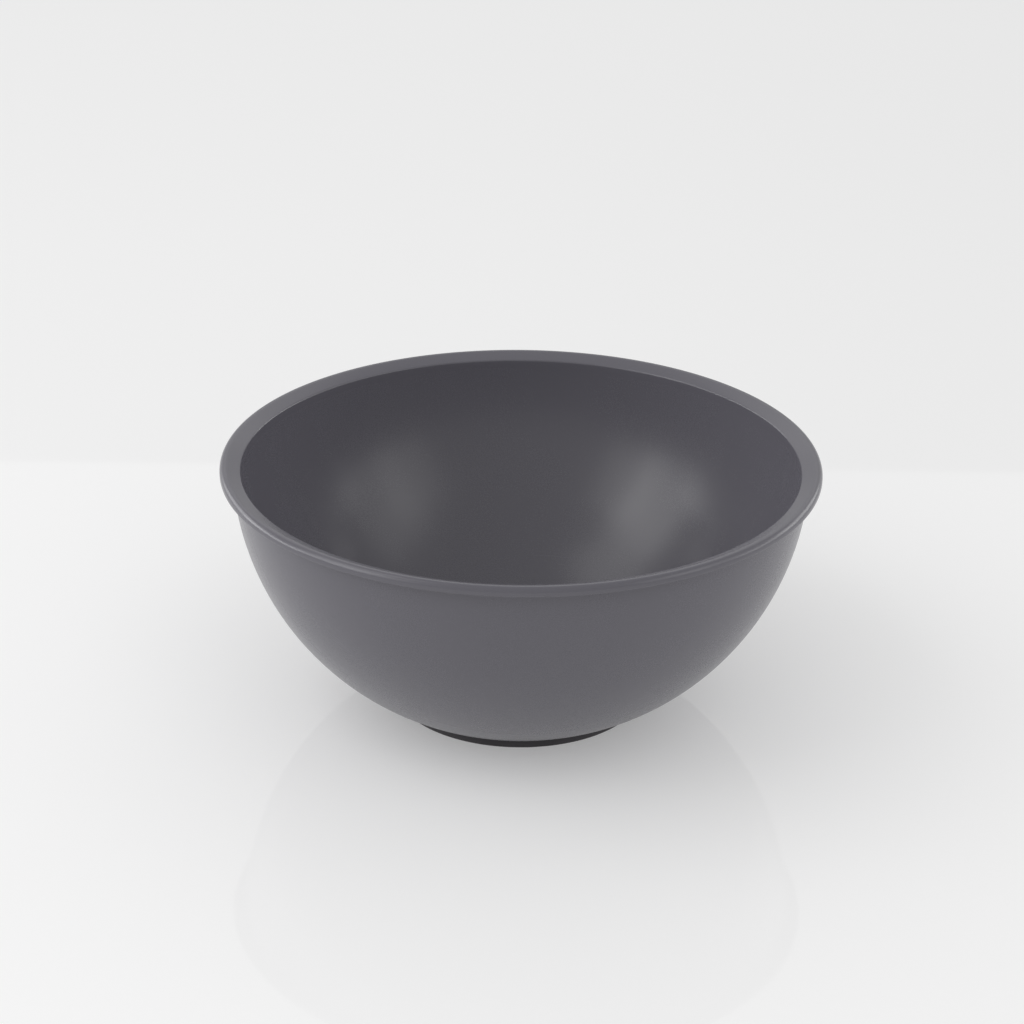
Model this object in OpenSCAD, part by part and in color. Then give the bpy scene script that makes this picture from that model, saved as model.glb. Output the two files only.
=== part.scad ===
// Round ward bowl: one moulded shell with an out-turned rim, standing on a non-slip foot ring.
// Millimetres. Z is up, and the origin is on the table, on the bowl's own axis.

/* [Rim] */
// Outer diameter of the rim
rim_d = 250; // [244:1:256]
// Height above the table at which the rim's top face and its edge would meet
rim_h = 109.1; // [107:0.1:112]
// Width of the out-turned rim, from the mouth's edge to the outside
flange_w = 8.6; // [8:0.1:10]
// Rise of the rim's top face towards the outside, in degrees
flange_slope = 22.5; // [18:0.5:24]
// Height of the rim's outer edge, before its corners are rounded
edge_h = 4.6; // [4.4:0.1:5.4]
// Rounding of the mouth's edge
mouth_round = 0.9; // [0.5:0.1:1.4]
// Rounding of the rim's top corner, which makes most of its edge
edge_round = 2.4; // [1.8:0.1:2.5]
// Rounding of the rim's lower corner
lower_round = 0.5; // [0.3:0.1:0.7]
// Hollow rounding where the rim's underside meets the body
neck_round = 1.5; // [1:0.1:2]

/* [Body] */
// Thickness of the wall
wall_t = 3.5; // [3.1:0.1:3.9]
// Radius of the body's outer curve, as seen from the side
body_r = 117; // [116:0.5:118]
// Depth of that curve's centre below the height at which the rim's faces would meet
centre_drop = 0; // [0:0.1:1]
// Thickness of the floor above the foot ring's seat
floor_t = 4; // [3.6:0.1:5]
// Rounding between the floor and the wall, inside
floor_round = 18; // [10:1:26]

/* [Foot] */
// Outer diameter of the foot ring
foot_d = 106.2; // [104:0.1:108]
// Width of the foot ring
ring_w = 9; // [8:0.1:10]
// Rounding of the foot ring's lower corners
ring_round = 0.7; // [0.3:0.1:0.9]
// Width of the foot ring's tongue and of the groove that grips it
tongue_w = 2.6; // [2:0.1:3]
// Depth of the groove in the base
groove_depth = 1.8; // [1.2:0.1:2.2]
// Gap left above the tongue in its groove
tongue_gap = 0.2; // [0.1:0.1:0.4]
// Width of each tread groove under the foot ring
tread_w = 1; // [0.6:0.1:1.2]
// Depth of each tread groove
tread_depth = 0.6; // [0.4:0.1:0.8]

/* [Underside] */
// Width of the rib that the foot ring fits around
rib_w = 2; // [1.5:0.1:3]
// Clearance between that rib and the table
rib_clear = 1.2; // [0.8:0.1:1.6]
// Depth of the middle of the base above the foot ring's seat
field_depth = 0.5; // [0.3:0.1:0.8]
// Diameter of the shallow dimple at the moulding point
dimple_d = 14; // [10:1:18]
// Depth of that dimple
dimple_depth = 0.6; // [0.4:0.1:0.8]
// Diameter of the moulding point's stub
gate_d = 3.6; // [3:0.1:5]
// Height of the moulding point's stub
gate_h = 0.4; // [0.2:0.1:0.5]

/* [Hidden] */

// Steps round a full turn, along the body's curves and along a small rounding
turn_steps = 240;
curve_steps = 48;
round_steps = 8;

rim_r = rim_d / 2;
foot_r = foot_d / 2;
inner_r = body_r - wall_t;
mouth_r = rim_r - flange_w;

// The body's two curves share one centre, close to the axis, as [radius, height]
centre = [mouth_r - inner_r, rim_h - centre_drop];

// Directions along the rim's top face and square to it
along = [cos(flange_slope), sin(flange_slope)];
square_up = [-sin(flange_slope), cos(flange_slope)];
upright = 90 + flange_slope;

// Height at which the body's outer curve comes down to the foot ring
seat_h = curve_height(body_r, foot_r);
floor_h = seat_h + floor_t;
ring_in_r = foot_r - ring_w;
rib_in_r = ring_in_r - rib_w;
tongue_r = foot_r - ring_w / 2;
field_h = seat_h + field_depth;
dimple_h = field_h + dimple_depth;

// Centres of the roundings
mouth_c = touching([rim_r, rim_h], mouth_round, inner_r + mouth_round);
neck_c = touching([rim_r, rim_h - edge_h], neck_round, body_r + neck_round);
edge_c = in_corner(rim_h, edge_round, -1);
lower_c = in_corner(rim_h - edge_h, lower_round, 1);
floor_c = on_floor(floor_round);

// Outline of the shell's half section, from the moulding point outwards and back along the inside
shell_outline = concat(
    [[0, dimple_h - gate_h], [gate_d / 2, dimple_h - gate_h], [gate_d / 2, dimple_h]],
    [[dimple_d / 2, dimple_h], [dimple_d / 2, field_h], [rib_in_r, field_h]],
    [[rib_in_r, rib_clear], [ring_in_r, rib_clear], [ring_in_r, seat_h]],
    notch(tongue_r, tongue_w, seat_h, groove_depth),
    arc(centre, body_r, bearing(centre, [foot_r, seat_h]), bearing(centre, neck_c), curve_steps),
    arc(neck_c, neck_round, bearing(neck_c, centre), upright),
    arc(lower_c, lower_round, upright - 180, 0),
    arc(edge_c, edge_round, 0, upright),
    arc(mouth_c, mouth_round, upright, bearing(mouth_c, centre)),
    arc(centre, inner_r, bearing(centre, mouth_c), bearing(centre, floor_c), curve_steps),
    arc(floor_c, floor_round, bearing(centre, floor_c), -90, curve_steps / 2),
    [[0, floor_h]]
);

// Outline of the foot ring's half section, from the top of its inner side
ring_outline = concat(
    [[ring_in_r, seat_h]],
    arc([ring_in_r + ring_round, ring_round], ring_round, 180, 270),
    notch(tongue_r - ring_w / 6, tread_w, 0, tread_depth),
    notch(tongue_r + ring_w / 6, tread_w, 0, tread_depth),
    arc([foot_r - ring_round, ring_round], ring_round, 270, 360),
    [[foot_r, seat_h]],
    reversed(notch(tongue_r, tongue_w, seat_h, groove_depth - tongue_gap))
);

// Height of a body curve of radius r at a distance x from the axis
function curve_height(r, x) = centre[1] - sqrt(r * r - pow(x - centre[0], 2));

// Centre of a rounding of radius r below the sloping face through corner, reach away from the body's centre
function touching(corner, r, reach) =
    let (start = corner - square_up * r)
    let (run = (start - centre) * along)
    let (gap = (start - centre) * (start - centre) - reach * reach)
    start - along * (run - sqrt(run * run - gap));

// Centre of a rounding of radius r between the upright edge and the sloping face that meet at height z:
// below that face for side -1, above it for side 1
function in_corner(z, r, side) =
    [rim_r - r, z - r * tan(flange_slope) + side * r / cos(flange_slope)];

// Centre of a rounding of radius r between the floor and the inner curve
function on_floor(r) =
    let (drop = centre[1] - floor_h - r)
    [centre[0] + sqrt(pow(inner_r - r, 2) - drop * drop), floor_h + r];

// Direction from point a to point b, in degrees
function bearing(a, b) = atan2(b[1] - a[1], b[0] - a[0]);

// Points along a round stretch, from one direction to another
function arc(c, r, from, to, steps = round_steps) =
    [for (i = [0 : steps]) let (a = from + (to - from) * i / steps) c + r * [cos(a), sin(a)]];

// Four corners of a slot of width w that goes up by depth from height z, around radius x
function notch(x, w, z, depth) =
    [[x - w / 2, z], [x - w / 2, z + depth], [x + w / 2, z + depth], [x + w / 2, z]];

// The same points in the opposite order
function reversed(points) = [for (i = [len(points) - 1 : -1 : 0]) points[i]];

module bowl_shell() {
    color([0.36, 0.355, 0.375])
        rotate_extrude($fn = turn_steps)
            polygon(shell_outline);
}

module foot_ring() {
    color([0.15, 0.145, 0.15])
        rotate_extrude($fn = turn_steps)
            polygon(ring_outline);
}

bowl_shell();
foot_ring();
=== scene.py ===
"""Round ward bowl: a moulded shell with an out-turned rim, on a non-slip foot ring.

Metres, Z up, with the origin on the table on the bowl's own axis.
"""

import math

import bpy
from mathutils import Matrix, Vector


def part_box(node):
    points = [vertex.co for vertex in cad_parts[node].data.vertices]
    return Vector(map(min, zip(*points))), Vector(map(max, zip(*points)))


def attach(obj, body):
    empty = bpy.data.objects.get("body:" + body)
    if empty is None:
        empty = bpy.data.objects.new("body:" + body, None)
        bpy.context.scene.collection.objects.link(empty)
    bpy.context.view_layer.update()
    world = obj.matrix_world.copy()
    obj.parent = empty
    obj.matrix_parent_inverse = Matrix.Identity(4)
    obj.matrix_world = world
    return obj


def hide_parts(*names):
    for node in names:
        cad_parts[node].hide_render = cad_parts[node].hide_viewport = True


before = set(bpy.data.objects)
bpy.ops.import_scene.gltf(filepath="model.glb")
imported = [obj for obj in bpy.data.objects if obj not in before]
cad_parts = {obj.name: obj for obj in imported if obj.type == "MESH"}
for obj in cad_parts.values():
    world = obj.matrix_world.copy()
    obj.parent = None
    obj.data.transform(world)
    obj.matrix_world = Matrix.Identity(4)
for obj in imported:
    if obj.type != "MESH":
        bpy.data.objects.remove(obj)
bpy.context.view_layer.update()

MM = 0.001

# Sizes that the frame gives
SHELL_LOW, SHELL_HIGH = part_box("bowl_shell")
RIM_R = SHELL_HIGH[0]
RIB_CLEAR = SHELL_LOW[2]
FOOT_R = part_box("foot_ring")[1][0]

# Rim: its top face and its upright edge would meet at RIM_H
RIM_H = 109.1 * MM
FLANGE_W = 8.6 * MM
FLANGE_SLOPE = 22.5
EDGE_H = 4.6 * MM
MOUTH_ROUND = 0.9 * MM
EDGE_ROUND = 2.4 * MM
LOWER_ROUND = 0.5 * MM
NECK_ROUND = 1.5 * MM

# Body
WALL_T = 3.5 * MM
BODY_R = 117.0 * MM
FLOOR_T = 4.0 * MM
FLOOR_ROUND = 18.0 * MM

# Foot ring
RING_W = 9.0 * MM
RING_ROUND = 0.7 * MM
TONGUE_W = 2.6 * MM
GROOVE_DEPTH = 1.8 * MM
TONGUE_GAP = 0.2 * MM
TREAD_W = 1.0 * MM
TREAD_DEPTH = 0.6 * MM

# Underside
RIB_W = 2.0 * MM
FIELD_DEPTH = 0.5 * MM
DIMPLE_D = 14.0 * MM
DIMPLE_DEPTH = 0.6 * MM
GATE_D = 3.6 * MM
GATE_H = 0.4 * MM

# Fineness of the turned shapes, the softening of their sharp edges and the reach of a weld
TURN_STEPS = 256
CURVE_STEPS = 72
ROUND_STEPS = 8
SHARP = 40
SOFT_EDGE = 0.18 * MM
SOFT_STEPS = 3
WELD = 0.001 * MM


# ---- Half sections, as points at a distance from the axis and a height

def at(reach, height):
    return Vector((reach, height))


def heading(degrees):
    turn = math.radians(degrees)
    return at(math.cos(turn), math.sin(turn))


def bearing(a, b):
    return math.degrees(math.atan2(b.y - a.y, b.x - a.x))


def arc(middle, radius, first, last, steps=ROUND_STEPS):
    turns = [first + (last - first) * i / steps for i in range(steps + 1)]
    return [middle + radius * heading(turn) for turn in turns]


def notch(reach, width, height, depth):
    left, right = reach - width / 2, reach + width / 2
    return [at(left, height), at(left, height + depth), at(right, height + depth), at(right, height)]


INNER_R = BODY_R - WALL_T
CENTRE = at(RIM_R - FLANGE_W - INNER_R, RIM_H)
UPRIGHT = 90 + FLANGE_SLOPE
SEAT_H = CENTRE.y - math.sqrt(BODY_R**2 - (FOOT_R - CENTRE.x) ** 2)
FLOOR_H = SEAT_H + FLOOR_T
RING_IN_R = FOOT_R - RING_W
TONGUE_R = FOOT_R - RING_W / 2


def under_slope(height, radius, reach):
    """Centre of a rounding below the rim's sloping face that starts from the rim's edge at height."""
    along = heading(FLANGE_SLOPE)
    away = at(RIM_R, height) - heading(UPRIGHT) * radius - CENTRE
    run = away.dot(along)
    return CENTRE + away - along * (run - math.sqrt(run**2 - away.length_squared + reach**2))


def at_edge(height, radius, side):
    """Centre of a rounding between the rim's upright edge and its sloping face at height."""
    slope = math.radians(FLANGE_SLOPE)
    return at(RIM_R - radius, height - radius * math.tan(slope) + side * radius / math.cos(slope))


def shell_section():
    """From the moulding point under the base, outwards, over the rim and back along the inside."""
    rib_in = RING_IN_R - RIB_W
    field_h = SEAT_H + FIELD_DEPTH
    dimple_h = field_h + DIMPLE_DEPTH
    mouth = under_slope(RIM_H, MOUTH_ROUND, INNER_R + MOUTH_ROUND)
    neck = under_slope(RIM_H - EDGE_H, NECK_ROUND, BODY_R + NECK_ROUND)
    edge = at_edge(RIM_H, EDGE_ROUND, -1)
    lower = at_edge(RIM_H - EDGE_H, LOWER_ROUND, 1)
    drop = CENTRE.y - FLOOR_H - FLOOR_ROUND
    bottom = at(CENTRE.x + math.sqrt((INNER_R - FLOOR_ROUND) ** 2 - drop**2), FLOOR_H + FLOOR_ROUND)
    return [
        at(0, dimple_h - GATE_H),
        at(GATE_D / 2, dimple_h - GATE_H),
        at(GATE_D / 2, dimple_h),
        at(DIMPLE_D / 2, dimple_h),
        at(DIMPLE_D / 2, field_h),
        at(rib_in, field_h),
        at(rib_in, RIB_CLEAR),
        at(RING_IN_R, RIB_CLEAR),
        at(RING_IN_R, SEAT_H),
        *notch(TONGUE_R, TONGUE_W, SEAT_H, GROOVE_DEPTH),
        *arc(CENTRE, BODY_R, bearing(CENTRE, at(FOOT_R, SEAT_H)), bearing(CENTRE, neck), CURVE_STEPS),
        *arc(neck, NECK_ROUND, bearing(neck, CENTRE), UPRIGHT),
        *arc(lower, LOWER_ROUND, UPRIGHT - 180, 0),
        *arc(edge, EDGE_ROUND, 0, UPRIGHT, 2 * ROUND_STEPS),
        *arc(mouth, MOUTH_ROUND, UPRIGHT, bearing(mouth, CENTRE)),
        *arc(CENTRE, INNER_R, bearing(CENTRE, mouth), bearing(CENTRE, bottom), CURVE_STEPS),
        *arc(bottom, FLOOR_ROUND, bearing(CENTRE, bottom), -90, CURVE_STEPS // 2),
        at(0, FLOOR_H),
    ]


def ring_section():
    """From the top of the ring's inner side, down, under the tread and round the tongue."""
    tongue = notch(TONGUE_R, TONGUE_W, SEAT_H, GROOVE_DEPTH - TONGUE_GAP)
    return [
        at(RING_IN_R, SEAT_H),
        *arc(at(RING_IN_R + RING_ROUND, RING_ROUND), RING_ROUND, 180, 270),
        *notch(TONGUE_R - RING_W / 6, TREAD_W, 0, TREAD_DEPTH),
        *notch(TONGUE_R + RING_W / 6, TREAD_W, 0, TREAD_DEPTH),
        *arc(at(FOOT_R - RING_ROUND, RING_ROUND), RING_ROUND, 270, 360),
        at(FOOT_R, SEAT_H),
        *reversed(tongue),
        at(RING_IN_R, SEAT_H),
    ]


# ---- Turned pieces

def turn(name, section):
    """Draws a half section point by point, spins it round the axis and softens the sharp edges."""
    bpy.ops.object.select_all(action="DESELECT")
    bpy.ops.mesh.primitive_plane_add(size=MM, location=(section[0].x, 0, section[0].y))
    piece = bpy.context.object
    piece.name = piece.data.name = name
    bpy.ops.object.mode_set(mode="EDIT")
    bpy.ops.mesh.select_all(action="SELECT")
    bpy.ops.mesh.merge(type="CENTER")
    for here, there in zip(section, section[1:]):
        step = (there.x - here.x, 0, there.y - here.y)
        bpy.ops.mesh.extrude_region_move(TRANSFORM_OT_translate={"value": step})
    bpy.ops.mesh.select_all(action="SELECT")
    bpy.ops.mesh.spin(steps=TURN_STEPS, angle=math.tau, center=(0, 0, 0), axis=(0, 0, 1))
    bpy.ops.mesh.select_all(action="SELECT")
    bpy.ops.mesh.remove_doubles(threshold=WELD)
    bpy.ops.mesh.normals_make_consistent(inside=False)
    bpy.ops.object.mode_set(mode="OBJECT")
    bpy.ops.object.transform_apply(location=True, rotation=True, scale=True)
    soften(piece)
    bpy.ops.object.shade_smooth_by_angle(angle=math.radians(SHARP))
    return piece


def soften(piece):
    bevel = piece.modifiers.new("soft_edges", "BEVEL")
    bevel.width = SOFT_EDGE
    bevel.segments = SOFT_STEPS
    bevel.limit_method = "ANGLE"
    bevel.angle_limit = math.radians(SHARP)
    bpy.ops.object.modifier_apply(modifier=bevel.name)


# ---- Tools for finishes

class Value:
    """A shader socket that takes part in ordinary arithmetic."""

    def __init__(self, paint, socket):
        self.paint = paint
        self.socket = socket

    def maths(self, kind, *values):
        return self.paint.node("ShaderNodeMath", {"operation": kind}, dict(enumerate(values)))

    def __add__(self, other):
        return self.maths("ADD", self, other)

    __radd__ = __add__

    def __sub__(self, other):
        return self.maths("SUBTRACT", self, other)

    def __rsub__(self, other):
        return self.maths("SUBTRACT", other, self)

    def __mul__(self, other):
        return self.maths("MULTIPLY", self, other)

    __rmul__ = __mul__

    def __truediv__(self, other):
        return self.maths("DIVIDE", self, other)

    def root(self):
        return self.maths("SQRT", self)

    def above(self, low, high):
        """0 up to low, 1 from high, and smooth between them."""
        settings = {"interpolation_type": "SMOOTHSTEP"}
        return self.paint.node("ShaderNodeMapRange", settings, {0: self, 1: low, 2: high})

    def below(self, low, high):
        return 1 - self.above(low, high)


class Paint:
    """A material under construction."""

    def __init__(self, name):
        self.material = bpy.data.materials.new(name)
        self.material.use_nodes = True
        self.tree = self.material.node_tree
        self.surface = self.tree.nodes["Principled BSDF"]

    def node(self, kind, settings=None, sockets=None, output=0):
        made = self.tree.nodes.new(kind)
        for name, setting in (settings or {}).items():
            setattr(made, name, setting)
        for name, value in (sockets or {}).items():
            self.feed(made.inputs[name], value)
        return Value(self, made.outputs[output])

    def feed(self, socket, value):
        if isinstance(value, Value):
            self.tree.links.new(value.socket, socket)
        else:
            socket.default_value = value

    def surface_is(self, **sockets):
        for name, value in sockets.items():
            self.feed(self.surface.inputs[name.replace("_", " ")], value)

    def place(self):
        return self.node("ShaderNodeTexCoord", output="Object")

    def parts(self, vector):
        made = self.node("ShaderNodeSeparateXYZ", None, {0: vector})
        return [Value(self, socket) for socket in made.socket.node.outputs]

    def vector(self, x, y, z):
        return self.node("ShaderNodeCombineXYZ", None, {0: x, 1: y, 2: z})

    def noise(self, place, scale, detail=2.0, rough=0.5):
        sockets = {"Vector": place, "Scale": scale, "Detail": detail, "Roughness": rough}
        return self.node("ShaderNodeTexNoise", None, sockets)

    def blend(self, share, first, second):
        settings = {"data_type": "RGBA"}
        return self.node("ShaderNodeMix", settings, {0: share, 6: first, 7: second}, output=2)

    def bump(self, height, depth, strength=1.0, under=None):
        sockets = {"Height": height, "Distance": depth, "Strength": strength}
        if under:
            sockets["Normal"] = under
        return self.node("ShaderNodeBump", None, sockets)


# ---- Finishes

SHELL_SHADE = (0.117, 0.113, 0.132)
SHELL_ROUGH = 0.27
RUBBER_SHADE = (0.044, 0.041, 0.045)
PLASTIC_IOR = 1.5
RUBBER_IOR = 1.5

# Heights over which the stirring circles die out, the rim's polish sets in and the rib's scuffs die out
STIRRED_UP_TO = (12 * MM, 40 * MM)
POLISHED_FROM = (101.5 * MM, 103.5 * MM)
SCUFFED_UP_TO = (2 * MM, 3 * MM)
SCUFF_LIGHTER = 1.9

# Fineness of the marks on the shell and on the rubber, in waves to a metre
SHELL_GRAIN = 2600.0
SHELL_PORES = 900.0
SHELL_CLOUDS = 26.0
STIRRING_CIRCLES = 1500
RUBBER_GRAIN = 2200.0
RUBBER_CLOUDS = 60.0

# Depths of the marks
SHELL_GRAIN_DEPTH = 0.006 * MM
STIRRING_DEPTH = 0.002 * MM
RUBBER_GRAIN_DEPTH = 0.03 * MM


def shade(colour, factor):
    return (*(channel * factor for channel in colour), 1)


def shell_plastic():
    """Satin plastic: fine grain, clouds, flow marks, stirring circles, a polished rim, a scuffed rib."""
    paint = Paint("satin_shell_plastic")
    place = paint.place()
    x, y, z = paint.parts(place)
    reach = (x * x + y * y).root()
    away_r = reach - CENTRE.x
    away_z = z - CENTRE.y
    depth = (away_r * away_r + away_z * away_z).root()
    inside = depth.below(INNER_R + 0.2 * WALL_T, INNER_R + 0.8 * WALL_T)
    low = z.below(*STIRRED_UP_TO)
    rim = z.above(*POLISHED_FROM)
    rib = z.below(*SCUFFED_UP_TO)
    round_x, round_y = x / (reach + MM), y / (reach + MM)

    grain = paint.noise(place, SHELL_GRAIN, 2.0, 0.6)
    pores = paint.noise(place, SHELL_PORES, 3.0, 0.65)
    cloud = paint.noise(place, SHELL_CLOUDS, 3.0)
    flow = paint.noise(paint.vector(round_x * 14, round_y * 14, depth * 9), 1.0, 4.0, 0.6)
    ripples = paint.vector(round_x * 3, round_y * 3, reach * STIRRING_CIRCLES)
    circles = paint.noise(ripples, 1.0, 3.0, 0.7)
    stirred = circles.above(0.6, 0.8) * inside * low

    tone = 0.3 * cloud + 0.15 * flow + 0.55 * pores
    colour = paint.blend(tone, shade(SHELL_SHADE, 0.96), shade(SHELL_SHADE, 1.04))
    colour = paint.blend(rib * pores, colour, shade(SHELL_SHADE, SCUFF_LIGHTER))
    roughness = SHELL_ROUGH + 0.06 * (cloud - 0.5) + 0.05 * (grain - 0.5) - 0.03 * rim
    grained = paint.bump(0.6 * pores + 0.4 * grain, SHELL_GRAIN_DEPTH, 0.3)
    scratched = paint.bump(1 - stirred, STIRRING_DEPTH, 0.3, grained)
    paint.surface_is(Base_Color=colour, Roughness=roughness + 0.05 * stirred)
    paint.surface_is(Normal=scratched, IOR=PLASTIC_IOR)
    return paint.material


def foot_rubber():
    """Matt rubber with a faint grey bloom, more of it towards the tread."""
    paint = Paint("matt_foot_rubber")
    place = paint.place()
    height = paint.parts(place)[2]
    grain = paint.noise(place, RUBBER_GRAIN, 4.0, 0.6)
    cloud = paint.noise(place, RUBBER_CLOUDS, 3.0)
    bloom = (cloud * grain).above(0.2, 0.45) * height.below(0, SEAT_H)
    colour = paint.blend(bloom, shade(RUBBER_SHADE, 1.0), shade(RUBBER_SHADE, 1.6))
    grained = paint.bump(grain, RUBBER_GRAIN_DEPTH, 0.4)
    paint.surface_is(Base_Color=colour, Roughness=0.58 + 0.16 * grain)
    paint.surface_is(Normal=grained, IOR=RUBBER_IOR)
    return paint.material


def finish(piece, material, node):
    piece.data.materials.clear()
    piece.data.materials.append(material)
    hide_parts(node)
    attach(piece, "root")


def bowl_shell():
    finish(turn("shell_moulding", shell_section()), shell_plastic(), "bowl_shell")


def foot_ring():
    finish(turn("rubber_foot_ring", ring_section()), foot_rubber(), "foot_ring")


# ---- Studio

TABLE_REACH = 4.0
TABLE_STEPS = 96
TABLE_SHADE = 0.75
TABLE_GLOW = 0.24
TABLE_ROUGH = 0.02
TABLE_IOR = 1.2
ROOM_GLOW = 0.56
LIGHT_AIM = Vector((0, 0, 0.08))


def white_table():
    paint = Paint("white_table")
    paint.surface_is(Base_Color=(TABLE_SHADE,) * 3 + (1,), Roughness=TABLE_ROUGH, IOR=TABLE_IOR)
    paint.surface_is(Emission_Color=(1, 1, 1, 1), Emission_Strength=TABLE_GLOW)
    bpy.ops.object.select_all(action="DESELECT")
    bpy.ops.mesh.primitive_circle_add(vertices=TABLE_STEPS, radius=TABLE_REACH, fill_type="NGON")
    table = bpy.context.object
    table.name = "table"
    table.data.materials.append(paint.material)
    return table


def lit_by(name, thing, state):
    """A group of receivers that takes in only this thing, or leaves only this thing out."""
    group = bpy.data.collections.new(name)
    group.objects.link(thing)
    group.collection_objects[0].light_linking.link_state = state
    return group


def soft_light(name, side, up, away, size, power, receivers, mirrored=True):
    """A soft box at so many degrees round from behind the bowl (positive to the right) and up."""
    data = bpy.data.lights.new(name, "AREA")
    data.shape = "RECTANGLE"
    data.size, data.size_y = size
    data.energy = power
    lamp = bpy.data.objects.new(name, data)
    bpy.context.collection.objects.link(lamp)
    round_to, rise = math.radians(side), math.radians(up)
    flat = away * math.cos(rise)
    lamp.location = (flat * math.sin(round_to), flat * math.cos(round_to), away * math.sin(rise))
    lamp.rotation_euler = (LIGHT_AIM - lamp.location).to_track_quat("-Z", "Y").to_euler()
    lamp.visible_camera = False
    lamp.visible_glossy = mirrored
    lamp.light_linking.receiver_collection = receivers


def room_glow(strength):
    world = bpy.data.worlds.new("studio")
    world.use_nodes = True
    world.node_tree.nodes["Background"].inputs["Color"].default_value = (1, 1, 1, 1)
    world.node_tree.nodes["Background"].inputs["Strength"].default_value = strength
    bpy.context.scene.world = world


# The only one of the table's boxes that the table mirrors
MIRRORED_BOX = "table_back"

# Each soft box: its name, degrees to the side, degrees up, distance, size and watts
TABLE_BOXES = [
    ("table_left", -105, 50, 1.8, (1.5, 1.2), 5.8),
    ("table_back", 0, 34, 2.2, (2.4, 1.0), 3.8),
    ("table_front", 180, 60, 1.9, (2.0, 1.2), 4.5),
    ("table_low_left", -70, 8, 1.7, (1.2, 0.4), 3.5),
    ("table_front_left", -145, 8, 1.7, (1.2, 0.4), 3.5),
    ("table_front_right", 145, 8, 1.7, (1.2, 0.4), 4.5),
]
BOWL_BOXES = [
    ("left_main", -105, 32, 1.6, (0.85, 1.0), 5.2),
    ("left_front", -125, 30, 1.6, (0.7, 0.8), 1.7),
    ("left_high", -95, 60, 1.6, (0.8, 0.6), 1.7),
    ("left_low", -80, 14, 1.6, (0.9, 0.5), 4.6),
    ("left_back", -55, 20, 1.6, (0.9, 0.6), 3.5),
    ("right_back", 55, 20, 1.6, (0.9, 0.6), 3.5),
    ("right_low", 80, 14, 1.6, (0.9, 0.5), 2.5),
    ("right_main", 103, 32, 1.6, (0.85, 1.0), 1.9),
    ("right_front", 122, 28, 1.6, (0.7, 0.8), 1.3),
    ("back", 0, 40, 2.0, (2.0, 0.9), 2.5),
]


def lighting(table):
    """The table and the bowl have soft boxes of their own, so that the table stays bright and even."""
    room_glow(ROOM_GLOW)
    for box in TABLE_BOXES:
        soft_light(*box, lit_by(box[0], table, "INCLUDE"), mirrored=box[0] == MIRRORED_BOX)
    for box in BOWL_BOXES:
        soft_light(*box, lit_by(box[0], table, "EXCLUDE"))


# Camera: where it stands, the point it looks at, its roll and its lens
CAMERA_AT = Vector((0, -1.1964, 0.6253))
CAMERA_AIM = Vector((-0.00358, 0, 0.08326))
CAMERA_ROLL = 0.563
LENS = 110.25
SENSOR = 36


def camera():
    data = bpy.data.cameras.new("camera")
    data.lens = LENS
    data.sensor_width = SENSOR
    eye = bpy.data.objects.new("camera", data)
    bpy.context.collection.objects.link(eye)
    look = (CAMERA_AIM - CAMERA_AT).to_track_quat("-Z", "Y").to_matrix().to_4x4()
    roll = Matrix.Rotation(math.radians(CAMERA_ROLL), 4, "Z")
    eye.matrix_world = Matrix.Translation(CAMERA_AT) @ look @ roll
    bpy.context.scene.camera = eye
    bpy.context.scene.view_settings.view_transform = "Standard"


# ---- Making it

camera()
lighting(white_table())
bowl_shell()
foot_ring()
